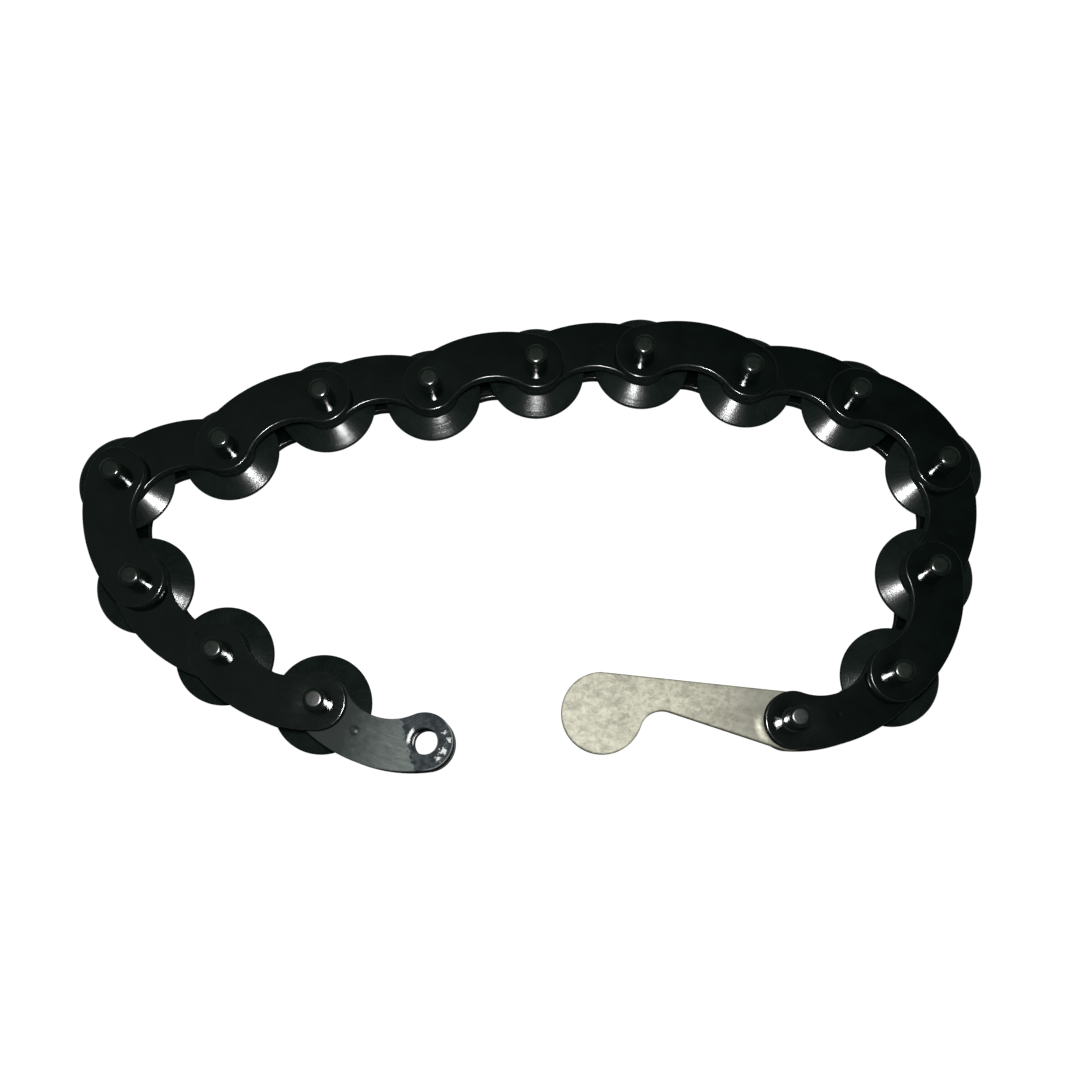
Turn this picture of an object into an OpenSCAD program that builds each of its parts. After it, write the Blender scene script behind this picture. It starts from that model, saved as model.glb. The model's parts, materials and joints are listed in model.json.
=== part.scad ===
// Cutter-wheel chain of a chain-type exhaust pipe cutter.
// Fifteen links, each a pair of arched plates, join fifteen pins. A cutter wheel
// turns on each of the first fourteen pins, and a hook tab swings on the last.
// The chain lies on its side in an open loop: the pins stand along Z, their heads
// rest on the ground at Z = 0, and the middle of the footprint is at X = Y = 0.

/* [Chain] */
// Distance between neighbouring pins
pitch = 33.4; // [33:0.1:36]
// Side play between parts that turn on one pin
side_gap = 0.2; // [0.1:0.05:0.4]
// Radial play of a part that turns on a pin
turn_gap = 0.08; // [0.05:0.01:0.1]

/* [Link plates] */
// Thickness of every link plate
plate_t = 4; // [3:0.1:4.5]
// Radius of a plate's round ends
end_r = 8.5; // [8:0.1:9.5]
// How far the hollow edge lies inside the line between the pins, at mid length
waist_in = 1.9; // [0.5:0.1:3]
// How far the arched edge lies outside the line between the pins, at mid length
arch_out = 12.6; // [11:0.1:14]

/* [Cutter wheels] */
// Diameter over the cutting edge
wheel_d = 30; // [28:0.5:32]
// Diameter of the hub's flat face
hub_d = 12.4; // [11:0.1:14]
// Thickness of the hub
hub_t = 6.6; // [5.6:0.1:7]
// Width of the land on the cutting edge
edge_land = 0.2; // [0.1:0.05:0.4]

/* [Pins] */
// Diameter of the pin's shank
pin_d = 7.6; // [7.2:0.1:8]
// Diameter of the turned-down end
pin_end_d = 6.4; // [5.8:0.1:6.5]
// How far the turned-down end stands above the upper outer plates
pin_proud = 6.6; // [5:0.1:8]
// Diameter of the slotted head
head_d = 9.6; // [9:0.1:11]
// Height of the slotted head
head_h = 3; // [2.5:0.1:4]

/* [Hook tab] */
// Thickness of the tab
tab_t = 3.6; // [3:0.1:5]
// Distance from the pin to the middle of the round head
tab_reach = 56.4; // [50:0.2:60]
// Radius of the round head
tab_head_r = 12.3; // [11:0.1:13]
// Radius of the tab's eye, round the pin
tab_eye_r = 8.8; // [8:0.1:9.5]
// Radius of the throat behind the head
throat_r = 6.8; // [6:0.1:8]
// How far the throat reaches past the line from the pin to the head
throat_past = 1.4; // [0:0.1:3]
// Outside diameter of the spacer rings beside the tab
spacer_d = 13; // [11:0.5:15]

/* [Hidden] */
$fn = 64;

// Turn at each pin on the way along the chain, in degrees, clockwise positive.
BENDS = [6, 14.5, 36, 87, -11, 21, -6, 7, 16, 3, 27, 58, 13, 45, 26];
// Direction of the first link, from the free end to the first pin.
FIRST_HEADING = 160;

pins = len(BENDS);
links = pins;
wheels = pins - 1;

// Heights from the middle plane of the wheels.
inner_z = hub_t / 2 + side_gap;
outer_z = inner_z + plate_t + side_gap;
// Height of that plane when the pin heads rest on the ground.
mid_z = outer_z + plate_t + head_h;
bore_d = pin_d + 2 * turn_gap;

// Link names run from 1 at the free end, and link n joins pin n - 1 to pin n.
function two(n) = n < 10 ? str("0", n) : str(n);
function is_outer(n) = n % 2 == 0;
function upper_name(n) = str("link_", two(n), "_upper_plate");
function lower_name(n) = str("link_", two(n), "_lower_plate");
function wheel_name(n) = str("cutter_wheel_", two(n));
function pair_name(n) = str("link_", two(n), "_pins");

outer_links = [for (n = [1:links]) if (is_outer(n)) n];

// ---- Where the pins lie --------------------------------------------------

function heading(n) = n == 1 ? FIRST_HEADING : heading(n - 1) - BENDS[n - 2];
function chain_point(n) =
    n == 0 ? [0, 0] : chain_point(n - 1) + pitch * [cos(heading(n)), sin(heading(n))];

points = [for (n = [0:pins]) chain_point(n)];

// Arcs of a plate's outline. Both arcs touch the round ends and are centred on
// the inner side of the line between the pins.
half = pitch / 2;
hollow_r = (half * half + waist_in * waist_in - end_r * end_r) / (2 * (end_r - waist_in));
hollow_y = -(hollow_r + waist_in);
arch_r = (half * half + arch_out * arch_out - end_r * end_r) / (2 * (arch_out - end_r));
arch_y = arch_out - arch_r;
arch_half_angle = asin(half / (arch_r - end_r));
hollow_half_angle = asin(half / (hollow_r + end_r));

// Furthest reach of link n's plates, and of wheel n, in direction a.
function plate_reach(n, a) =
    let (mid = (points[n - 1] + points[n]) / 2,
         dir = [cos(a), sin(a)],
         up = [-sin(heading(n)), cos(heading(n))],
         off = abs(((a - heading(n) - 90) % 360 + 540) % 360 - 180))
    off < arch_half_angle
        ? (mid + arch_y * up) * dir + arch_r
        : max(points[n - 1] * dir, points[n] * dir) + end_r;
function wheel_reach(n, a) = points[n] * [cos(a), sin(a)] + wheel_d / 2;
function reach(a) = max(concat(
    [for (n = [1:links]) plate_reach(n, a)],
    [for (n = [1:wheels]) wheel_reach(n, a)]
));
middle = [reach(0) - reach(180), reach(90) - reach(270)] / 2;

module at_point(n) {
    translate([points[n][0] - middle[0], points[n][1] - middle[1], mid_z]) children();
}

// Places a link's plate: X runs along the link from its middle, Y points outward.
module at_link(n) {
    mid = (points[n - 1] + points[n]) / 2 - middle;
    translate([mid[0], mid[1], mid_z]) rotate([0, 0, heading(n)]) children();
}

// ---- Link plates ---------------------------------------------------------

// Points of an arc without its last one, where the next arc starts.
function arc(centre, r, from, to, steps) =
    [for (i = [0:steps - 1]) let (a = from + (to - from) * i / steps) centre + r * [cos(a), sin(a)]];

module plate_outline() {
    polygon(concat(
        arc([0, arch_y], arch_r, 90 - arch_half_angle, 90 + arch_half_angle, 18),
        arc([-half, 0], end_r, 90 + arch_half_angle, 270 + hollow_half_angle, 36),
        arc([0, hollow_y], hollow_r, 90 + hollow_half_angle, 90 - hollow_half_angle, 18),
        arc([half, 0], end_r, -90 - hollow_half_angle, 90 - arch_half_angle, 36)
    ));
}

// Outer plates are pressed on their pins, the upper ones on the turned-down ends,
// and inner plates turn on the shanks. The tab's pin is pressed into the last
// link, which is an inner one.
function hole_d(n, p, upper) =
    is_outer(n) ? (upper ? pin_end_d : pin_d) : p == pins ? pin_d : bore_d;

// The upper or the lower plate of link n.
module link_plate(n, upper) {
    gap_z = is_outer(n) ? outer_z : inner_z;
    color("dimgray")
    at_link(n) translate([0, 0, upper ? gap_z : -gap_z - plate_t])
    difference() {
        linear_extrude(plate_t) plate_outline();
        for (p = [n - 1, n])
            translate([p == n ? half : -half, 0, -1])
            cylinder(d = hole_d(n, p, upper), h = plate_t + 2);
    }
}

// ---- Cutter wheels -------------------------------------------------------

module cutter_wheel(n) {
    chamfer = 0.3;
    color("darkslategray")
    at_point(n)
    rotate_extrude() polygon([
        [bore_d / 2 + chamfer, -hub_t / 2],
        [hub_d / 2, -hub_t / 2],
        [wheel_d / 2, -edge_land / 2],
        [wheel_d / 2, edge_land / 2],
        [hub_d / 2, hub_t / 2],
        [bore_d / 2 + chamfer, hub_t / 2],
        [bore_d / 2, hub_t / 2 - chamfer],
        [bore_d / 2, -hub_t / 2 + chamfer]
    ]);
}

// ---- Pins ----------------------------------------------------------------

// A stepped pin. Its slotted head bears on the lower outer plate, and the upper
// outer plate sits on its shoulder.
module slotted_pin() {
    slot_w = 1.4;
    slot_depth = 1.4;
    head_chamfer = 0.5;
    end_chamfer_w = 0.9;
    end_chamfer_h = 0.4;
    grip = outer_z + plate_t;
    foot = -grip - head_h;
    tip = grip + pin_proud;
    difference() {
        rotate_extrude() polygon([
            [0, foot],
            [head_d / 2 - head_chamfer, foot],
            [head_d / 2, foot + head_chamfer],
            [head_d / 2, -grip],
            [pin_d / 2, -grip],
            [pin_d / 2, outer_z],
            [pin_end_d / 2, outer_z],
            [pin_end_d / 2, tip - end_chamfer_h],
            [pin_end_d / 2 - end_chamfer_w, tip],
            [0, tip]
        ]);
        translate([-head_d, -slot_w / 2, foot - 1]) cube([2 * head_d, slot_w, slot_depth + 1]);
    }
}

// The slots stand at any angle, as the pins were pressed in.
function slot_angle(p) = 47 * p;

module pin_at(p) {
    color("gray")
    at_point(p) rotate([0, 0, slot_angle(p)]) slotted_pin();
}

// The two pins pressed into outer link n.
module link_pins(n) {
    for (p = [n - 1, n]) pin_at(p);
}

// The same pin in the last link, held by its press fit alone.
module tab_pin() { pin_at(pins); }

// ---- Hook tab ------------------------------------------------------------

// Two rings that hold the tab in the middle between the last link's plates.
module tab_spacers() {
    height = inner_z - tab_t / 2 - side_gap;
    color("lightgray")
    at_point(pins)
    for (side = [-1, 1])
        translate([0, 0, side * (inner_z - height / 2)])
        difference() {
            cylinder(d = spacer_d, h = height, center = true);
            cylinder(d = bore_d, h = height + 2, center = true);
        }
}

// Outline of the tab: X runs from the pin to the round head, and the throat of
// the hook opens towards +Y. Every arc touches the next line or arc.
module tab_outline() {
    head = [tab_reach, 0];
    throat_y = throat_r - throat_past;
    throat = [tab_reach - sqrt(pow(tab_head_r + throat_r, 2) - throat_y * throat_y), throat_y];
    // Angles at which the back touches the eye and the head, the head touches the
    // throat, and the straight belly touches the throat and the eye.
    back = asin((tab_head_r - tab_eye_r) / tab_reach) - 90;
    nape = atan2(throat[1], throat[0] - tab_reach);
    belly = 90 + atan2(throat[1], throat[0]) - asin((tab_eye_r + throat_r) / norm(throat));
    polygon(concat(
        arc(head, tab_head_r, back, nape, 44),
        arc(throat, throat_r, nape - 180, belly - 180, 18),
        [throat + throat_r * [cos(belly - 180), sin(belly - 180)]],
        arc([0, 0], tab_eye_r, belly, 360 + back, 36),
        [tab_eye_r * [cos(back), sin(back)]]
    ));
}

module hook_tab() {
    color("silver")
    at_point(pins) rotate([0, 0, heading(pins) - BENDS[pins - 1]])
    difference() {
        translate([0, 0, -tab_t / 2]) linear_extrude(tab_t) tab_outline();
        cylinder(d = bore_d, h = tab_t + 2, center = true);
    }
}

// ---- Assembly ------------------------------------------------------------

for (n = [1:links]) link_plate(n, true);
for (n = [1:links]) link_plate(n, false);
for (n = [1:wheels]) cutter_wheel(n);
for (n = outer_links) link_pins(n);
tab_pin();
tab_spacers();
hook_tab();
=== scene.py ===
import json
import math

import bmesh
import bpy
import numpy as np
from mathutils import Matrix, Vector


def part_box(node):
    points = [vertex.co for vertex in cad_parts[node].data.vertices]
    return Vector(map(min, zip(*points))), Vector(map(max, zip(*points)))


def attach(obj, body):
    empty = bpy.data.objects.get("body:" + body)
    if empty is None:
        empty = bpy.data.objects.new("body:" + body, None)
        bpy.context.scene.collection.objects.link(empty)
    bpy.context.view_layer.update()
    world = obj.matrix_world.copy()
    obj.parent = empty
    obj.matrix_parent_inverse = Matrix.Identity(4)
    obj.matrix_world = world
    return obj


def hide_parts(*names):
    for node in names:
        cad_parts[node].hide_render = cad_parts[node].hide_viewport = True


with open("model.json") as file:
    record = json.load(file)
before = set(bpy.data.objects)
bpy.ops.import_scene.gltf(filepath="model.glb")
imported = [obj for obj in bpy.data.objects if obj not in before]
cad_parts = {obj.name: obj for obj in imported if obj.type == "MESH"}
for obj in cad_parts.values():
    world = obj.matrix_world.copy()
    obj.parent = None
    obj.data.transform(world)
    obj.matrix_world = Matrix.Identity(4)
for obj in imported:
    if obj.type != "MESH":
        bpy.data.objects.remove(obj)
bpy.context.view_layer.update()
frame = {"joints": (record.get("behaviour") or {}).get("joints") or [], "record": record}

MM = 0.001
LINKS = 15

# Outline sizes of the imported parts, in millimetres.
END_R, WAIST_IN, ARCH_OUT = 8.5, 1.9, 12.6
PIN_R, PIN_END_R, HEAD_R, BORE_R = 3.8, 3.2, 4.8, 3.88
HUB_R, CONE_R, LAND, SPACER_R, SIDE_GAP = 6.2, 14.5, 0.2, 6.5, 0.2
TAB_REACH, TAB_HEAD_R, TAB_EYE_R = 56.4, 12.3, 8.8
THROAT_R, THROAT_PAST = 6.8, 1.4

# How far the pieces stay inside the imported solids: sheets, and turned parts.
SHEET_SLACK, TURNED_SLACK = 0.015, 0.01


# ---- Where things are ------------------------------------------------------

joints = {j["name"]: j for j in frame["joints"]}
mounts = {m["name"]: m for m in frame["record"]["mounts"]}
points = [Vector(mounts["free_end_eye"]["pos_m"])]
points += [Vector(joints[f"pivot_{n:02d}"]["pos_m"]) for n in range(1, LINKS + 1)]
MID_Z = points[1].z
PITCH = (points[2] - points[1]).length / MM
HALF = PITCH / 2


def heights(node):
    """A node's lowest and highest point in millimetres from the wheels' middle plane."""
    low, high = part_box(node)
    return (low[2] - MID_Z) / MM, (high[2] - MID_Z) / MM


INNER_Z, INNER_TOP = heights("link_01_upper_plate")
OUTER_Z, OUTER_TOP = heights("link_02_upper_plate")
PIN_FOOT, PIN_TIP = heights("tab_pin")
PLATE_T = INNER_TOP - INNER_Z
HUB_T = 2 * heights("cutter_wheel_01")[1]
TAB_T = 2 * heights("hook_tab")[1]
wheel_low, wheel_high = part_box("cutter_wheel_01")
WHEEL_R = (wheel_high[0] - wheel_low[0]) / 2 / MM


def heading(a, b):
    """The direction from a to b in plan, in radians."""
    return math.atan2(b.y - a.y, b.x - a.x)


tab_head = Vector(mounts["hook_tab_head"]["pos_m"])


# ---- Mesh helpers ----------------------------------------------------------

def placed(name, data):
    """A new object in the scene."""
    ob = bpy.data.objects.new(name, data)
    bpy.context.scene.collection.objects.link(ob)
    return ob


def finish_mesh(name, verts, faces, edge, angle=35, walls=0):
    """A mesh from millimetre points, shaded smooth up to the angle. It carries its
    own coordinates (lp, millimetres) and how near a point is to a worn edge. The
    first `walls` faces take the second material."""
    mesh = bpy.data.meshes.new(name)
    mesh.from_pydata([Vector(v) * MM for v in verts], [], faces)
    mesh.validate()
    b = bmesh.new()
    b.from_mesh(mesh)
    bmesh.ops.recalc_face_normals(b, faces=b.faces)
    b.to_mesh(mesh)
    b.free()
    mesh.polygons.foreach_set("use_smooth", [True] * len(mesh.polygons))
    mesh.polygons.foreach_set("material_index", [1] * walls + [0] * (len(mesh.polygons) - walls))
    mesh.set_sharp_from_angle(angle=math.radians(angle))
    lp = mesh.attributes.new("lp", "FLOAT_VECTOR", "POINT")
    lp.data.foreach_set("vector", np.array(verts, np.float32).ravel())
    ed = mesh.attributes.new("edge", "FLOAT", "POINT")
    ed.data.foreach_set("value", np.array(edge, np.float32))
    return mesh


def arc(cx, cy, r, start, end, steps):
    """Points of an arc in degrees, without its last one."""
    return [(cx + r * math.cos(a), cy + r * math.sin(a))
            for a in (math.radians(start + (end - start) * i / steps) for i in range(steps))]


def plate_outline(o):
    """A link plate's outline, drawn in by o: the arch, the two ends and the hollow."""
    hollow_r = (HALF ** 2 + WAIST_IN ** 2 - END_R ** 2) / (2 * (END_R - WAIST_IN))
    hollow_y = -(hollow_r + WAIST_IN)
    arch_r = (HALF ** 2 + ARCH_OUT ** 2 - END_R ** 2) / (2 * (ARCH_OUT - END_R))
    arch_y = ARCH_OUT - arch_r
    t = math.degrees(math.asin(HALF / (arch_r - END_R)))
    u = math.degrees(math.asin(HALF / (hollow_r + END_R)))
    return (arc(0, arch_y, arch_r - o, 90 - t, 90 + t, 36)
            + arc(-HALF, 0, END_R - o, 90 + t, 270 + u, 72)
            + arc(0, hollow_y, hollow_r + o, 90 + u, 90 - u, 36)
            + arc(HALF, 0, END_R - o, -90 - u, 90 - t, 72))


def tab_outline(o):
    """The hook tab's outline, drawn in by o: X from the pin to the round head."""
    ty = THROAT_R - THROAT_PAST
    tx = TAB_REACH - math.sqrt((TAB_HEAD_R + THROAT_R) ** 2 - ty * ty)
    back = math.degrees(math.asin((TAB_HEAD_R - TAB_EYE_R) / TAB_REACH)) - 90
    nape = math.degrees(math.atan2(ty, tx - TAB_REACH))
    belly = (90 + math.degrees(math.atan2(ty, tx))
             - math.degrees(math.asin((TAB_EYE_R + THROAT_R) / math.hypot(tx, ty))))
    return (arc(TAB_REACH, 0, TAB_HEAD_R - o, back, nape, 110)
            + arc(tx, ty, THROAT_R + o, nape - 180, belly - 180, 40)
            + arc(tx, ty, THROAT_R + o, belly - 180, belly - 180, 1)
            + arc(0, 0, TAB_EYE_R - o, belly, 360 + back, 90)
            + arc(0, 0, TAB_EYE_R - o, 360 + back, 360 + back, 1))


def section(t, roll_w, roll_h, burr, steps):
    """How far in (o) and how high (z) each ring of a blanked sheet's edge lies, and how
    worn it is: from the rolled top, whose last ring is ring `steps`, down the straight
    wall to the small round edge of the bottom face."""
    rings = []
    for i in range(steps + 1):
        a = math.radians(90 * i / steps)
        rings.append((roll_w * (1 - math.sin(a)), t / 2 - roll_h * (1 - math.cos(a)), 1.0))
    rings.append((0.0, -t / 2 + burr * 2.4, 0.25))
    for i in range(4):
        a = math.radians(30 * i)
        rings.append((burr * (1 - math.cos(a)), -t / 2 + burr * (1 - math.sin(a)), 1.0 if i < 3 else 0.0))
    return rings


def filled(verts, loops):
    """Triangles between an outer loop and the hole loops in one level face."""
    b = bmesh.new()
    back = {}
    edges = []
    for loop in loops:
        vs = []
        for i in loop:
            v = b.verts.new(verts[i])
            back[v] = i
            vs.append(v)
        edges += [b.edges.new((vs[i], vs[(i + 1) % len(vs)])) for i in range(len(vs))]
    made = bmesh.ops.triangle_fill(b, use_beauty=True, use_dissolve=False, edges=edges, normal=(0, 0, 1))
    faces = [tuple(back[v] for v in f.verts) for f in made["geom"] if isinstance(f, bmesh.types.BMFace)]
    b.free()
    return faces


def sheet_mesh(name, outline, holes, t, roll_w, roll_h, burr, eye_roll):
    """A blanked sheet: an outline(offset) and round holes (x, y, r). Its top edge is
    rolled and its bottom edge has the radius burr. Its straight walls take the second
    material."""
    verts, edge, faces, walls = [], [], [], []
    roll_steps, eye_steps = 8, 4
    eye_burr = 0.12

    def ring_pairs(loops, straight):
        n = len(loops[0])
        for k, (a, b) in enumerate(zip(loops, loops[1:])):
            kind = walls if k == straight else faces
            kind.extend((a[i], a[(i + 1) % n], b[(i + 1) % n], b[i]) for i in range(n))

    def add(pts, z, e):
        start = len(verts)
        verts.extend((x, y, z) for x, y in pts)
        edge.extend([e] * len(pts))
        return list(range(start, len(verts)))

    outer = []
    for i, (o, z, e) in enumerate(section(t, roll_w, roll_h, burr, roll_steps)):
        worn = e * (0.4 + 0.6 * min(1, i / 4)) if i else 0.0
        outer.append(add(outline(o + SHEET_SLACK), z, worn))
    ring_pairs(outer, roll_steps)
    tops, bottoms = [outer[0]], [outer[-1]]
    for x, y, r in holes:
        eye = section(t, eye_roll, eye_roll * 0.8, eye_burr, eye_steps)
        loops = [add(arc(x, y, r + o, 0, 360, 72), z, e if i else 0.0) for i, (o, z, e) in enumerate(eye)]
        ring_pairs(loops, eye_steps)
        tops.append(loops[0])
        bottoms.append(loops[-1])
    faces += filled(verts, tops) + filled(verts, bottoms)
    return finish_mesh(name, verts, walls + faces, edge, walls=len(walls))


def lathe(name, profile, steps, closed=False, angle=35):
    """Turns (r, z, edge) points round Z. A closed profile makes a ring."""
    verts, edge, faces, rings = [], [], [], []
    for r, z, e in profile:
        if r < 1e-6:
            rings.append([len(verts)])
            verts.append((0, 0, z))
            edge.append(e)
            continue
        rings.append(list(range(len(verts), len(verts) + steps)))
        verts += [(x, y, z) for x, y in arc(0, 0, r, 0, 360, steps)]
        edge += [e] * steps
    pairs = list(zip(rings, rings[1:])) + ([(rings[-1], rings[0])] if closed else [])
    for a, b in pairs:
        for i in range(steps):
            j = (i + 1) % steps
            if len(a) == 1:
                faces.append((a[0], b[i], b[j]))
            elif len(b) == 1:
                faces.append((a[i], b[0], a[j]))
            else:
                faces.append((a[i], a[j], b[j], b[i]))
    return finish_mesh(name, verts, faces, edge, angle)


def rounded(profile, radius, steps=4):
    """Rounds the corners of an open (r, z) profile, marking them as edges. A point
    may carry its own radius as a third number."""
    out = []
    for i, p in enumerate(profile):
        if i in (0, len(profile) - 1):
            out.append((p[0], p[1], 0.0))
            continue
        c = Vector(p[:2])
        a, b = Vector(profile[i - 1][:2]) - c, Vector(profile[i + 1][:2]) - c
        wanted = p[2] if len(p) > 2 else radius
        d = min(wanted, a.length * 0.45, b.length * 0.45)
        start, end = c + a.normalized() * d, c + b.normalized() * d
        for s in range(steps + 1):
            t = s / steps
            q = start * (1 - t) ** 2 + c * (2 * t * (1 - t)) + end * t * t
            out.append((q.x, q.y, 1.0 if 0 < s < steps else 0.6))
    return out


def mirrored(top_half):
    """Adds the lower half to a profile that starts and ends at height 0."""
    return top_half + [(r, -z, e) for r, z, e in reversed(top_half)][1:-1]


# ---- Materials -------------------------------------------------------------

class Nodes:
    """Builds one material's nodes."""

    def __init__(self, name):
        self.mat = bpy.data.materials.new(name)
        self.mat.use_nodes = True
        self.nt = self.mat.node_tree
        self.nt.nodes.clear()
        out = self.nt.nodes.new("ShaderNodeOutputMaterial")
        self.bsdf = self.nt.nodes.new("ShaderNodeBsdfPrincipled")
        self.nt.links.new(self.bsdf.outputs[0], out.inputs[0])
        self.lp = self.attribute("lp", "GEOMETRY").outputs["Vector"]
        self.edge = self.attribute("edge", "GEOMETRY").outputs["Fac"]
        self.seed = self.attribute("seed", "OBJECT").outputs["Fac"]
        # Millimetres that start from another place on each piece, so that no two look alike.
        seeds = self.join(self.seed, self.seed, self.seed)
        self.place = self.vec("ADD", self.lp, self.vec("MULTIPLY", seeds, (91, 53, 37)))

    def attribute(self, name, kind):
        n = self.nt.nodes.new("ShaderNodeAttribute")
        n.attribute_type = kind
        n.attribute_name = name
        return n

    def put(self, socket, value):
        """Links a value from another node, or sets a constant on the socket itself."""
        if isinstance(value, bpy.types.NodeSocket):
            self.nt.links.new(value, socket)
        else:
            socket.default_value = value

    def math(self, op, a, b=0.0, c=0.0):
        n = self.nt.nodes.new("ShaderNodeMath")
        n.operation = op
        for s, v in zip(n.inputs, (a, b, c)):
            self.put(s, v)
        return n.outputs[0]

    def vec(self, op, a, b=(0, 0, 0)):
        n = self.nt.nodes.new("ShaderNodeVectorMath")
        n.operation = op
        self.put(n.inputs[0], a)
        self.put(n.inputs[1], b)
        return n.outputs["Value"] if op in ("LENGTH", "DISTANCE", "DOT_PRODUCT") else n.outputs[0]

    def join(self, x, y, z):
        n = self.nt.nodes.new("ShaderNodeCombineXYZ")
        for s, v in zip(n.inputs, (x, y, z)):
            self.put(s, v)
        return n.outputs[0]

    def split(self, v):
        n = self.nt.nodes.new("ShaderNodeSeparateXYZ")
        self.put(n.inputs[0], v)
        return n.outputs

    def noise(self, vector, scale, detail=4.0, rough=0.5, distort=0.0):
        n = self.nt.nodes.new("ShaderNodeTexNoise")
        self.put(n.inputs["Vector"], vector)
        n.inputs["Scale"].default_value = scale
        n.inputs["Detail"].default_value = detail
        n.inputs["Roughness"].default_value = rough
        n.inputs["Distortion"].default_value = distort
        return n.outputs["Fac"]

    def voronoi(self, vector, scale, feature="F1", output="Distance", smooth=None):
        n = self.nt.nodes.new("ShaderNodeTexVoronoi")
        n.feature = feature
        self.put(n.inputs["Vector"], vector)
        n.inputs["Scale"].default_value = scale
        if smooth is not None:
            n.inputs["Smoothness"].default_value = smooth
        return n.outputs[output]

    def ramp(self, value, *stops):
        """Maps a value through (position, number) stops."""
        n = self.nt.nodes.new("ShaderNodeValToRGB")
        els = n.color_ramp.elements
        while len(els) < len(stops):
            els.new(0.5)
        for e, (p, c) in zip(els, stops):
            e.position = p
            e.color = (c, c, c, 1)
        self.put(n.inputs[0], value)
        return n.outputs[0]

    def scaled(self, value, factor, *stops):
        """A ramp over a value that the factor first brings into 0 to 1."""
        return self.ramp(self.math("MULTIPLY", value, factor), *stops)

    def mix(self, fac, a, b):
        n = self.nt.nodes.new("ShaderNodeMix")
        n.data_type = "RGBA"
        self.put(n.inputs[0], fac)
        self.put(n.inputs[6], (*a, 1) if isinstance(a, tuple) else a)
        self.put(n.inputs[7], (*b, 1) if isinstance(b, tuple) else b)
        return n.outputs[2]

    def bump(self, height, distance, after=None):
        n = self.nt.nodes.new("ShaderNodeBump")
        n.inputs["Distance"].default_value = distance * MM
        self.put(n.inputs["Height"], height)
        if after is not None:
            self.put(n.inputs["Normal"], after)
        return n.outputs[0]

    def tilt(self, low, high):
        """How level a face lies: 0 where it stands up, 1 where it is level."""
        g = self.nt.nodes.new("ShaderNodeNewGeometry")
        z = self.math("ABSOLUTE", self.split(g.outputs["Normal"])[2])
        return self.ramp(z, (low, 0.0), (high, 1.0))

    def far_from(self, at):
        """The distance in plan from a point of the piece, in millimetres."""
        x, y, _ = self.split(self.lp)
        return self.vec("LENGTH", self.vec("SUBTRACT", self.join(x, y, 0.0), (*at, 0)))

    def dish(self, at, radius):
        """A round dish of height 0 to 1, from its middle at `at` out to the radius."""
        d = self.math("DIVIDE", self.far_from(at), radius * 2)
        return self.ramp(d, (0.0, 0.0), (0.22, 0.15), (0.42, 0.9), (0.5, 1.0))

    def spot(self, at, radius, ragged=0.0):
        """1 inside a small round spot at `at`, 0 outside."""
        d = self.math("ADD", self.far_from(at), ragged)
        return self.scaled(d, 0.1, ((radius - 0.3) * 0.1, 1.0), ((radius + 0.3) * 0.1, 0.0))

    def surface(self, **sockets):
        for name, value in sockets.items():
            self.put(self.bsdf.inputs[name.replace("_", " ")], value)
        return self.mat


def plate_material(name, dimple=None):
    """Oiled black oxide on blanked steel, with a punch mark where dimple lies."""
    m = Nodes(name)
    cloud = m.noise(m.place, 0.11, 5, 0.6, 0.4)
    smear = m.noise(m.vec("MULTIPLY", m.place, (0.5, 1.6, 1.0)), 0.35, 6, 0.62, 0.8)
    grain = m.noise(m.place, 2.6, 3, 0.55)
    pits = m.voronoi(m.place, 0.55)
    here = m.ramp(m.noise(m.place, 0.23, 2), (0.56, 0.0), (0.62, 1.0))
    nick = m.math("MULTIPLY", m.ramp(pits, (0.05, 1.0), (0.1, 0.0)), here)
    cloud = m.ramp(cloud, (0.35, 0.0), (0.7, 1.0))
    base = m.mix(cloud, (0.0003, 0.0012, 0.0008), (0.0012, 0.0027, 0.0021))
    rub = m.math("MULTIPLY", m.edge, m.ramp(m.noise(m.place, 0.8, 5, 0.65), (0.42, 0.0), (0.66, 1.0)))
    base = m.mix(m.math("MULTIPLY", rub, 0.2), base, (0.02, 0.022, 0.021))
    base = m.mix(m.math("MULTIPLY", nick, 0.3), base, (0.03, 0.034, 0.032))
    rough = m.math("MULTIPLY_ADD", m.ramp(smear, (0.3, 0.0), (0.75, 1.0)), 0.05, 0.075)
    scuffed = m.math("MULTIPLY", m.noise(m.place, 0.5, 3), 0.2)
    rough = m.math("MULTIPLY_ADD", m.edge, scuffed, rough)
    height = m.math("ADD", m.math("MULTIPLY", grain, 0.3), m.math("MULTIPLY", nick, -1.2))
    normal = m.bump(height, 0.008)
    if dimple:
        normal = m.bump(m.dish(dimple, 1.1), 0.045, after=normal)
    return m.surface(Base_Color=base, Roughness=rough, Specular_IOR_Level=0.58, Normal=normal)


def sheared_material(name, dark, light):
    """The matt torn wall of a blanked plate, with upright tear lines."""
    m = Nodes(name)
    tears = m.noise(m.vec("MULTIPLY", m.place, (1, 1, 0.12)), 1.6, 5, 0.65)
    base = m.mix(m.ramp(tears, (0.35, 0.0), (0.7, 1.0)), dark, light)
    rough = m.math("MULTIPLY_ADD", tears, 0.2, 0.42)
    return m.surface(Base_Color=base, Roughness=rough, Specular_IOR_Level=0.0, Normal=m.bump(tears, 0.03))


# Bright spots on the free end's rim: place from the eye, and radius.
RUBBED_SPOTS = ((-4.9, -4.5, 0.55), (-6.6, -2.7, 0.6), (-6.4, 0.7, 1.0), (-5.8, 3.3, 0.8))


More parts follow.
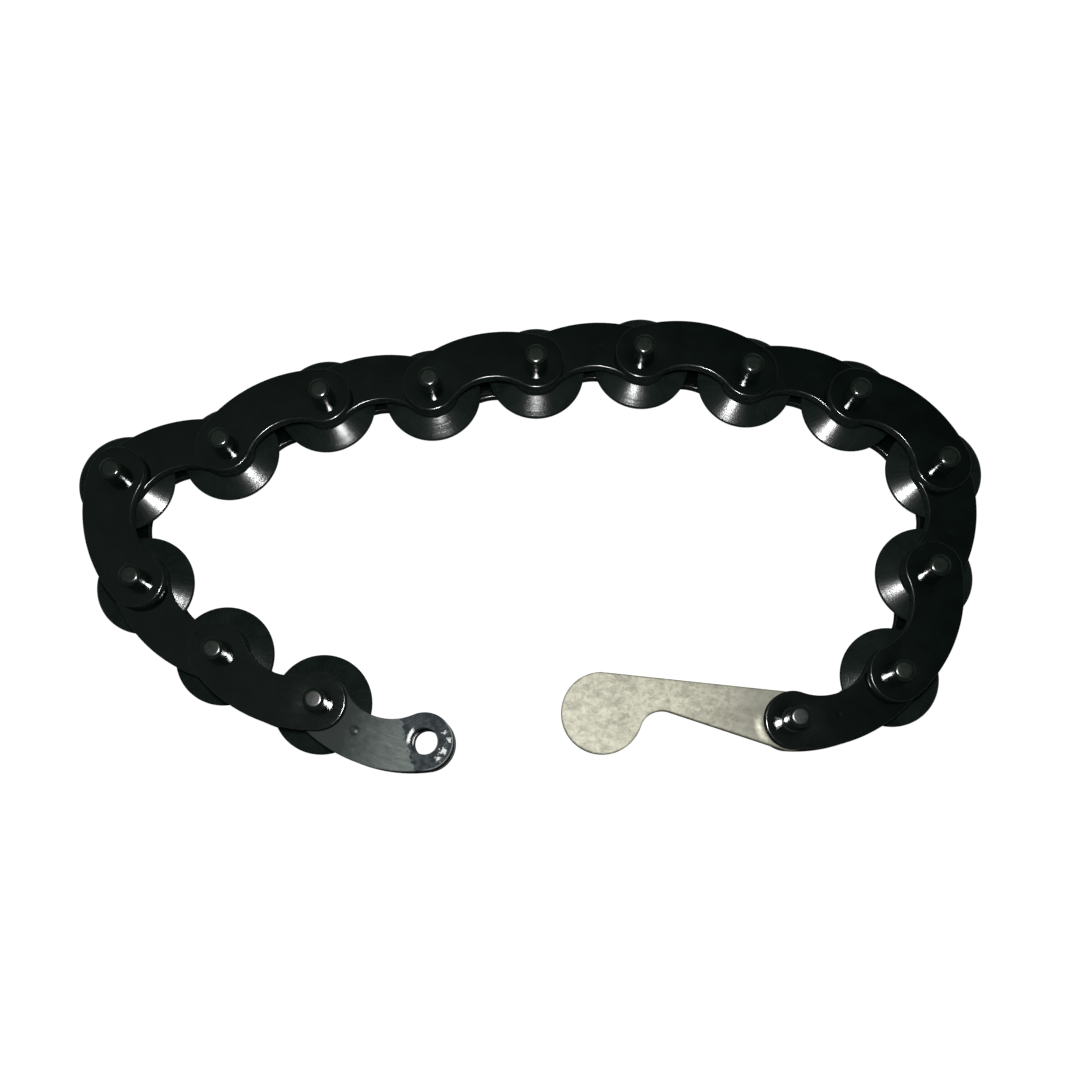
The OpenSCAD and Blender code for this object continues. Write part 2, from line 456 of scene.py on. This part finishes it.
def worn_and_sheen_material(name, eye, dimple):
    """The free end's plates: rubbed grey with a painted reflection of the lamp, darker near the first
    outer link, with the dark finish left round the eye, a painted highlight in it and worn bright spots on
    the rim."""
    m = Nodes(name)
    x, y, _ = m.split(m.lp)
    cloud = m.noise(m.place, 0.12, 5, 0.6, 0.5)
    mottle = m.noise(m.place, 0.5, 5, 0.65, 0.3)
    fine = m.noise(m.place, 2.4, 4, 0.6)
    streak = m.noise(m.vec("MULTIPLY", m.place, (0.35, 1.6, 1)), 0.9, 4, 0.6, 0.4)
    out_x = m.math("ADD", x, -eye[0])
    from_eye = m.vec("LENGTH", m.join(out_x, y, 0.0))

    # Rubbed grey steel with a painted reflection of the lamp on it, lighter towards the eye.
    outward = m.math("MULTIPLY_ADD", x, -0.045, m.math("MULTIPLY", mottle, 0.5))
    scratch = m.math("MULTIPLY_ADD", fine, 0.35, m.math("MULTIPLY", streak, 0.65))
    outward = m.ramp(outward, (0.0, 0.0), (0.75, 1.0))
    tone = m.math("MULTIPLY", outward, m.ramp(scratch, (0.3, 0.35), (0.65, 1.0)))
    base = m.mix(tone, (0.010, 0.0145, 0.0135), (0.105, 0.122, 0.114))

    # What is left of the finish, between the eye and a slanted ragged border, where the painted reflection
    # stops.
    ragged = m.math("MULTIPLY_ADD", m.math("ADD", mottle, cloud), 5.0, m.math("MULTIPLY", fine, 1.6))
    reach = m.math("MULTIPLY_ADD", y, 0.67, m.math("ADD", out_x, ragged))
    finish = m.mix(m.ramp(mottle, (0.42, 0.0), (0.72, 1.0)), (0.003, 0.007, 0.010), (0.035, 0.044, 0.046))
    base = m.mix(m.scaled(reach, 0.05, (0.565, 1.0), (0.59, 0.0)), base, finish)

    # A painted highlight: a bright crescent on the eye's inner side, where its rounded edge would catch the
    # lamp. The bright spots on the rim are wear.
    side = m.math("MULTIPLY_ADD", out_x, 0.5, m.math("MULTIPLY", from_eye, -0.35))
    eye_glint_side = m.ramp(side, (0.36, 0.0), (0.56, 1.0))
    wavy = m.math("MULTIPLY_ADD", fine, 0.8, from_eye)
    band = m.scaled(wavy, 0.1, (0.445, 0.0), (0.46, 1.0), (0.52, 1.0), (0.57, 0.0))
    base = m.mix(m.math("MULTIPLY", eye_glint_side, band), base, (0.62, 0.64, 0.62))
    spots = m.math("MULTIPLY", m.edge, m.scaled(out_x, -0.1, (0.2, 0.0), (0.45, 0.3)))
    chips = m.math("MULTIPLY_ADD", m.noise(m.place, 1.1, 4, 0.7), 4.5, -2.1)
    for at_x, at_y, r in RUBBED_SPOTS:
        spots = m.math("MAXIMUM", spots, m.spot((eye[0] + at_x, at_y), r, chips))
    base = m.mix(spots, base, (0.50, 0.51, 0.50))

    # The punch mark, painted dark inside, with a painted highlight on one side.
    base = m.mix(m.spot(dimple, 1.6), base, (0.008, 0.012, 0.012))
    base = m.mix(m.spot((dimple[0] - 0.8, dimple[1] + 0.1), 0.4), base, (0.15, 0.165, 0.16))
    rough = m.math("MULTIPLY_ADD", fine, 0.08, 0.56)
    normal = m.bump(m.math("MULTIPLY_ADD", mottle, 0.6, fine), 0.012)
    normal = m.bump(m.dish(dimple, 1.7), 0.3, after=normal)
    return m.surface(Base_Color=base, Roughness=rough, Specular_IOR_Level=0.12, Normal=normal)


def wheel_material():
    """Hardened cutter steel with a dark finish, ground from hub to rim."""
    m = Nodes("cutter_steel")
    x, y, _ = m.split(m.lp)
    flat = m.join(x, y, 0.0)
    r = m.vec("LENGTH", flat)
    ray = m.vec("NORMALIZE", flat)
    turn = m.math("MULTIPLY", m.seed, 40.0)
    drift = m.join(0.0, turn, m.math("MULTIPLY", r, 0.06))
    rays = m.vec("ADD", m.vec("MULTIPLY", ray, (14, 14, 14)), drift)
    fine = m.noise(rays, 5.0, 3, 0.6)
    broad = m.noise(rays, 0.8, 3, 0.5)
    turned = m.noise(m.join(r, turn, 0.0), 7.0, 2, 0.5)
    grit = m.noise(m.place, 1.7, 4, 0.75)
    cloud = m.ramp(m.noise(m.place, 0.16, 4, 0.55, 0.3), (0.3, 0.0), (0.72, 1.0))
    base = m.mix(cloud, (0.0020, 0.0042, 0.0036), (0.0052, 0.0082, 0.0072))
    bare = m.math("MULTIPLY", m.ramp(fine, (0.45, 0.0), (0.7, 1.0)), 0.3)
    base = m.mix(bare, base, (0.014, 0.018, 0.0165))
    rough = m.math("MULTIPLY_ADD", fine, 0.08, m.math("MULTIPLY_ADD", broad, 0.04, 0.10))
    height = m.math("ADD", m.math("MULTIPLY_ADD", grit, 1.8, fine), m.math("MULTIPLY", turned, 3.0))
    return m.surface(Base_Color=base, Roughness=rough, Specular_IOR_Level=0.2, Normal=m.bump(height, 0.005))


def pin_material():
    """Satin dark steel with turning marks and a duller end face."""
    m = Nodes("pin_steel")
    x, y, z = m.split(m.lp)
    r = m.vec("LENGTH", m.join(x, y, 0.0))
    turn = m.math("MULTIPLY", m.seed, 40.0)
    rings = m.noise(m.join(r, z, turn), 5.0, 2, 0.5)
    stain = m.noise(m.place, 0.9, 5, 0.65, 0.5)
    base = m.mix(m.ramp(stain, (0.35, 0.0), (0.68, 1.0)), (0.0020, 0.0048, 0.0034), (0.0062, 0.0088, 0.0068))
    face = m.math("MULTIPLY", m.tilt(0.93, 0.99), m.scaled(z, 0.05, (0.6, 0.0), (0.65, 1.0)))
    stained = m.ramp(stain, (0.3, 0.0), (0.8, 1.0))
    rough = m.math("MULTIPLY_ADD", stained, 0.05, m.math("MULTIPLY_ADD", face, 0.145, 0.085))
    return m.surface(Base_Color=base, Roughness=rough, Specular_IOR_Level=0.5, Normal=m.bump(rings, 0.004))


def zinc_material():
    """Dull zinc plating, mottled and finely grained."""
    m = Nodes("zinc_tab")
    x, y, _ = m.split(m.lp)
    drift = m.join(m.noise(m.place, 0.5), m.noise(m.place, 0.43), 0.0)
    warped = m.vec("ADD", m.place, m.vec("MULTIPLY", drift, (1.6, 1.6, 0)))
    spangle = m.split(m.voronoi(warped, 0.9, "SMOOTH_F1", "Color", 0.5))[0]
    cloud = m.noise(m.place, 0.2, 6, 0.65, 0.6)
    fleck = m.noise(m.vec("MULTIPLY", m.place, (0.8, 1.25, 1)), 0.62, 6, 0.62, 1.2)
    grain = m.noise(m.place, 3.2, 4, 0.6)
    tone = m.math("MULTIPLY_ADD", spangle, 0.14, m.math("MULTIPLY", cloud, 0.40))
    tone = m.math("MULTIPLY_ADD", fleck, 0.46, tone)
    base = m.mix(m.ramp(tone, (0.38, 0.0), (0.60, 1.0)), (0.125, 0.116, 0.078), (0.300, 0.296, 0.228))

    # Painted shadow beside the pin, where the last link's plates would shade the tab.
    painted_shadow_near_pin = m.scaled(x, 0.02, (0.2, 1.0), (0.44, 0.35), (0.75, 0.0))
    base = m.mix(m.math("MULTIPLY", painted_shadow_near_pin, 0.75), base, (0.11, 0.108, 0.085))
    # Painted shade on the standing walls.
    painted_wall_shade = m.math("SUBTRACT", 1.0, m.tilt(0.15, 0.5))
    base = m.mix(m.math("MULTIPLY", painted_wall_shade, 0.4), base, (0.06, 0.06, 0.05))
    # A painted highlight in a ring just past the last link's plate end, where that plate's corner throws the
    # lamp back.
    wavy = m.math("MULTIPLY_ADD", cloud, 1.2, m.vec("LENGTH", m.join(x, y, 0.0)))
    ring = m.scaled(wavy, 0.05, (0.45, 0.0), (0.50, 1.0), (0.52, 1.0), (0.60, 0.0))
    across = m.math("MULTIPLY_ADD", y, 0.1, 0.3)
    painted_ring_glint = m.math("MULTIPLY", ring, m.ramp(across, (0.1, 0.0), (0.5, 1.0), (0.75, 1.0), (1.0, 0.0)))
    painted_ring_glint = m.math("MULTIPLY", painted_ring_glint, m.ramp(fleck, (0.35, 0.4), (0.6, 1.0)))
    base = m.mix(painted_ring_glint, base, (0.60, 0.59, 0.47))
    rough = m.math("MULTIPLY_ADD", tone, 0.16, 0.42)
    normal = m.bump(m.math("MULTIPLY_ADD", grain, 0.6, m.math("MULTIPLY", fleck, 0.5)), 0.014)
    return m.surface(Base_Color=base, Roughness=rough, Metallic=0.15, Specular_IOR_Level=0.4, Normal=normal)


# The punch mark's place on an inner plate, from the plate's middle.
DIMPLE = (3.9, 4.1)
sheared_mat = sheared_material("sheared_edge", (0.006, 0.010, 0.0085), (0.017, 0.023, 0.0205))
# The free end's walls get lighter tones than the other walls: painted bounce light where the lamp leaves
# them dark.
bounce_lit_edge_mat = sheared_material("edge_painted_bounce_light", (0.05, 0.06, 0.06), (0.13, 0.145, 0.145))
plate_mat = (plate_material("black_plate"), sheared_mat)
marked_mat = (plate_material("black_plate_marked", DIMPLE), sheared_mat)
worn_sheen_mat = (worn_and_sheen_material("worn_plate_painted_sheen", (-HALF, 0), DIMPLE), bounce_lit_edge_mat)
cutter_mat = wheel_material()
pin_mat = pin_material()
zinc_mat = (zinc_material(),) * 2


# ---- Pieces ----------------------------------------------------------------

def piece(name, mesh, mat, matrix, body, slot, *nodes, seed=0.0):
    """A piece of its own mesh, moved to its place, riding on a body for its nodes."""
    mesh = mesh.copy()
    mesh.name = name
    mesh.transform(matrix)
    indices = [p.material_index for p in mesh.polygons]
    mesh.materials.clear()
    for m in mat if isinstance(mat, tuple) else (mat,):
        mesh.materials.append(m)
    mesh.polygons.foreach_set("material_index", indices)
    ob = placed(name, mesh)
    ob["seed"] = seed
    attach(ob, body)
    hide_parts(*nodes)
    return ob


def seed_of(i):
    """A number from 0 to 1 that is far from its neighbours' numbers."""
    return (i * 0.6180339) % 1.0


def plate_mesh(name, left_r, right_r, eye_roll=0.06):
    """An upper link plate with its two holes, its middle at the origin."""
    holes = [(-HALF, 0, left_r), (HALF, 0, right_r)]
    return sheet_mesh(name, plate_outline, holes, PLATE_T, 0.38, 0.24, 0.16, eye_roll)


def upside_down(mesh):
    """A copy for the chain's lower side, with its rolled edge facing down."""
    low = mesh.copy()
    low.transform(Matrix.Diagonal((1, 1, -1, 1)))
    low.flip_normals()
    return low


plates = {
    "inner_upper": plate_mesh("inner_plate", BORE_R, BORE_R, 0.3),
    "last_upper": plate_mesh("last_plate", BORE_R, PIN_R),
    "outer_upper": plate_mesh("outer_plate", PIN_END_R, PIN_END_R),
    "outer_lower": upside_down(plate_mesh("outer_low", PIN_R, PIN_R)),
}
plates["inner_lower"] = upside_down(plates["inner_upper"])
plates["last_lower"] = upside_down(plates["last_upper"])
SIDES = (("upper", 1), ("lower", -1))

for n in range(1, LINKS + 1):
    a, b = points[n - 1], points[n]
    turned = Matrix.Translation((a + b) / 2) @ Matrix.Rotation(heading(a, b), 4, "Z")
    kind = "outer" if n % 2 == 0 else "last" if n == LINKS else "inner"
    z = ((OUTER_Z if kind == "outer" else INNER_Z) + PLATE_T / 2) * MM
    for side, sign in SIDES:
        mat = worn_sheen_mat if n == 1 else marked_mat if kind != "outer" and sign > 0 else plate_mat
        place = turned @ Matrix.Translation((0, 0, sign * z))
        piece(f"plate_{n:02d}_{side}", plates[f"{kind}_{side}"], mat, place, f"link_{n:02d}",
              "black_plate", f"link_{n:02d}_{side}_plate", seed=seed_of(2 * n + (sign < 0)))

# Wheel: half profile from the bore over the hub and cone to the edge, then mirrored.
hub_top = HUB_T / 2
rim = WHEEL_R - TURNED_SLACK
wheel_half = rounded([(BORE_R, 0), (BORE_R, hub_top - 0.3), (BORE_R + 0.3, hub_top),
                      (HUB_R - 0.05, hub_top, 0.2), (CONE_R, 0.385, 0.06), (rim, LAND / 2, 0.03),
                      (rim, 0)], 0.1)
wheel_mesh = lathe("wheel", mirrored(wheel_half), 180, closed=True, angle=20)
for n in range(1, LINKS):
    place = Matrix.Translation(points[n]) @ Matrix.Rotation(1.7 * n, 4, "Z")
    piece(f"wheel_{n:02d}", wheel_mesh, cutter_mat, place, f"wheel_{n:02d}", "cutter_steel",
          f"cutter_wheel_{n:02d}", seed=seed_of(n + 40))

# The angle up to which a pin is shaded smooth.
PIN_ANGLE = 28


def pin_blank(shoulder):
    """A pin before its slot is cut, from the head at its foot over the shank, which
    ends at the shoulder's height, to the thinner tip."""
    head, shank, end = HEAD_R - TURNED_SLACK, PIN_R - TURNED_SLACK / 2, PIN_END_R - TURNED_SLACK / 2
    profile = rounded([(0, PIN_FOOT), (HEAD_R - 0.5, PIN_FOOT, 0.25), (head, PIN_FOOT + 0.5, 0.2),
                       (head, -OUTER_TOP, 0.15), (shank, -OUTER_TOP, 0.02), (shank, shoulder, 0.05),
                       (end, shoulder, 0.02), (end, PIN_TIP - 0.42, 0.12), (PIN_END_R - 0.95, PIN_TIP, 0.4),
                       (0, PIN_TIP)], 0.1)
    return lathe("pin", profile, 96, angle=PIN_ANGLE)


def cut_slot(mesh):
    """Cuts the screwdriver slot across a pin's head."""
    width, depth = 1.4, 1.4
    ob = placed("blank", mesh)
    box = bpy.data.meshes.new("slot")
    bm = bmesh.new()
    bmesh.ops.create_cube(bm, size=1, matrix=Matrix.Translation((0, 0, PIN_FOOT * MM))
                          @ Matrix.Diagonal((20 * MM, width * MM, 2 * depth * MM, 1)))
    bm.to_mesh(box)
    bm.free()
    cutter = placed("cutter", box)
    mod = ob.modifiers.new("slot", "BOOLEAN")
    mod.operation, mod.solver, mod.object = "DIFFERENCE", "EXACT", cutter
    dg = bpy.context.evaluated_depsgraph_get()
    out = bpy.data.meshes.new_from_object(ob.evaluated_get(dg), preserve_all_data_layers=True, depsgraph=dg)
    for o in (ob, cutter):
        bpy.data.objects.remove(o)
    co = np.zeros(len(out.vertices) * 3, np.float32)
    out.vertices.foreach_get("co", co)
    out.attributes["lp"].data.foreach_set("vector", co / MM)
    out.set_sharp_from_angle(angle=math.radians(PIN_ANGLE))
    out.name = "pin"
    return out


def pin_owner(n):
    """The body that pin n turns with, and the node that it is in."""
    if n == LINKS:
        return f"link_{n:02d}", "tab_pin"
    outer = n if n % 2 == 0 else n + 1
    return f"link_{outer:02d}", f"link_{outer:02d}_pins"


pin_mesh, tab_pin_mesh = cut_slot(pin_blank(OUTER_Z)), cut_slot(pin_blank(INNER_TOP))
for n in range(1, LINKS + 1):
    body, node = pin_owner(n)
    mesh = tab_pin_mesh if n == LINKS else pin_mesh
    place = Matrix.Translation(points[n]) @ Matrix.Rotation(math.radians(47 * n), 4, "Z")
    piece(f"pin_{n:02d}", mesh, pin_mat, place, body, "pin_steel", node, seed=seed_of(n + 70))

# Two spacer rings beside the tab.
ring_h = INNER_Z - TAB_T / 2 - SIDE_GAP
ring_r = SPACER_R - TURNED_SLACK
ring_half = rounded([(BORE_R, 0), (BORE_R, ring_h / 2, 0.12), (ring_r, ring_h / 2, 0.15), (ring_r, 0)], 0.12)
ring_mesh = lathe("spacer", mirrored(ring_half), 96, closed=True)
for side, sign in SIDES:
    place = Matrix.Translation(points[LINKS] + Vector((0, 0, sign * (INNER_Z - ring_h / 2) * MM)))
    piece(f"spacer_{side}", ring_mesh, plate_mat[0], place, "link_15", "black_plate", "tab_spacers",
          seed=seed_of(90 + sign))

# Hook tab.
tab_mesh = sheet_mesh("tab", tab_outline, [(0, 0, BORE_R)], TAB_T, 0.5, 0.35, 0.3, 0.3)
tab_place = Matrix.Translation(points[LINKS]) @ Matrix.Rotation(heading(points[LINKS], tab_head), 4, "Z")
piece("hook_tab_sheet", tab_mesh, zinc_mat, tab_place, "tab", "zinc_tab", "hook_tab", seed=0.37)


# ---- Floor, light and camera ----------------------------------------------

def floor():
    """White paper that glows for the camera and lights the part only a little."""
    mesh = bpy.data.meshes.new("floor")
    s = 6.0
    mesh.from_pydata([(-s, -s, 0), (s, -s, 0), (s, s, 0), (-s, s, 0)], [], [(0, 1, 2, 3)])
    ob = placed("floor", mesh)
    mat = bpy.data.materials.new("floor_white")
    mat.use_nodes = True
    nodes, links = mat.node_tree.nodes, mat.node_tree.links
    bsdf = nodes["Principled BSDF"]
    bsdf.inputs["Base Color"].default_value = (0.05, 0.05, 0.05, 1)
    bsdf.inputs["Roughness"].default_value = 0.9
    bsdf.inputs["Specular IOR Level"].default_value = 0.1
    bsdf.inputs["Emission Color"].default_value = (1, 1, 1, 1)
    seen = nodes.new("ShaderNodeLightPath")
    glow = nodes.new("ShaderNodeMapRange")
    glow.inputs["To Min"].default_value = 0.04
    glow.inputs["To Max"].default_value = 1.0
    links.new(seen.outputs["Is Camera Ray"], glow.inputs["Value"])
    links.new(glow.outputs[0], bsdf.inputs["Emission Strength"])
    # The paper is clear from below, so that the underside can be looked at.
    geometry = nodes.new("ShaderNodeNewGeometry")
    clear = nodes.new("ShaderNodeMath")
    clear.operation = "SUBTRACT"
    clear.inputs[0].default_value = 1.0
    links.new(geometry.outputs["Backfacing"], clear.inputs[1])
    links.new(clear.outputs[0], bsdf.inputs["Alpha"])
    mesh.materials.append(mat)


def key_light(at):
    """The lamp that makes the bright streaks, aimed at the middle of the loop."""
    data = bpy.data.lights.new("key", "AREA")
    data.shape = "DISK"
    data.size = 0.05
    data.energy = 2.6
    ob = placed("key", data)
    ob.location = at
    ob.rotation_euler = (-Vector(at)).to_track_quat("-Z", "Y").to_euler()


def light_world():
    """Dim light all round: brightest above, and a soft band near the horizon."""
    world = bpy.data.worlds.new("studio")
    bpy.context.scene.world = world
    world.use_nodes = True
    nodes, links = world.node_tree.nodes, world.node_tree.links
    coord = nodes.new("ShaderNodeTexCoord")
    lean = nodes.new("ShaderNodeVectorMath")
    lean.operation = "DOT_PRODUCT"
    lean.inputs[1].default_value = (-0.25, 0, 0.9)
    ramp = nodes.new("ShaderNodeValToRGB")
    els = ramp.color_ramp.elements
    els.new(0.5)
    els.new(0.75)
    for el, (at, tone) in zip(els, ((0.1, 0.008), (0.5, 0.02), (0.78, 0.05), (0.95, 0.18))):
        el.position = at
        el.color = (tone * 0.84, tone, tone * 0.93, 1)
    links.new(coord.outputs["Generated"], lean.inputs[0])
    links.new(lean.outputs["Value"], ramp.inputs[0])

    # The band shows the standing walls.
    height = nodes.new("ShaderNodeSeparateXYZ")
    links.new(coord.outputs["Generated"], height.inputs[0])
    low = nodes.new("ShaderNodeMapRange")
    for socket, value in zip(("From Min", "From Max", "To Min", "To Max"), (0.08, 0.42, 0.8, 0.0)):
        low.inputs[socket].default_value = value
    links.new(height.outputs["Z"], low.inputs["Value"])
    band = nodes.new("ShaderNodeMix")
    band.data_type = "RGBA"
    links.new(low.outputs[0], band.inputs[0])
    links.new(ramp.outputs[0], band.inputs[6])
    band.inputs[7].default_value = (0.84, 1, 0.93, 1)

    # What the camera sees beyond the floor is the same white paper.
    paper = nodes.new("ShaderNodeMix")
    paper.data_type = "RGBA"
    seen = nodes.new("ShaderNodeLightPath")
    links.new(seen.outputs["Is Camera Ray"], paper.inputs[0])
    links.new(band.outputs[2], paper.inputs[6])
    paper.inputs[7].default_value = (1, 1, 1, 1)
    links.new(paper.outputs[2], nodes["Background"].inputs[0])


def main_camera(at):
    """The photograph's camera, tilted from straight down."""
    camera = bpy.data.cameras.new("camera")
    camera.lens = 45.28
    camera.sensor_width = 36
    camera.clip_start = 0.01
    eye = placed("camera", camera)
    eye.location = at
    eye.rotation_euler = (math.radians(12.25), 0, 0)
    bpy.context.scene.camera = eye


# The camera and the key light stand over the chain at heights measured from the wheels.
EYE_Z = MID_Z + 0.41015
floor()
key_light((0.0, -0.048, EYE_Z + 0.008))
light_world()
main_camera((0.00294, -0.08972, EYE_Z))
bpy.context.scene.view_settings.view_transform = "Standard"
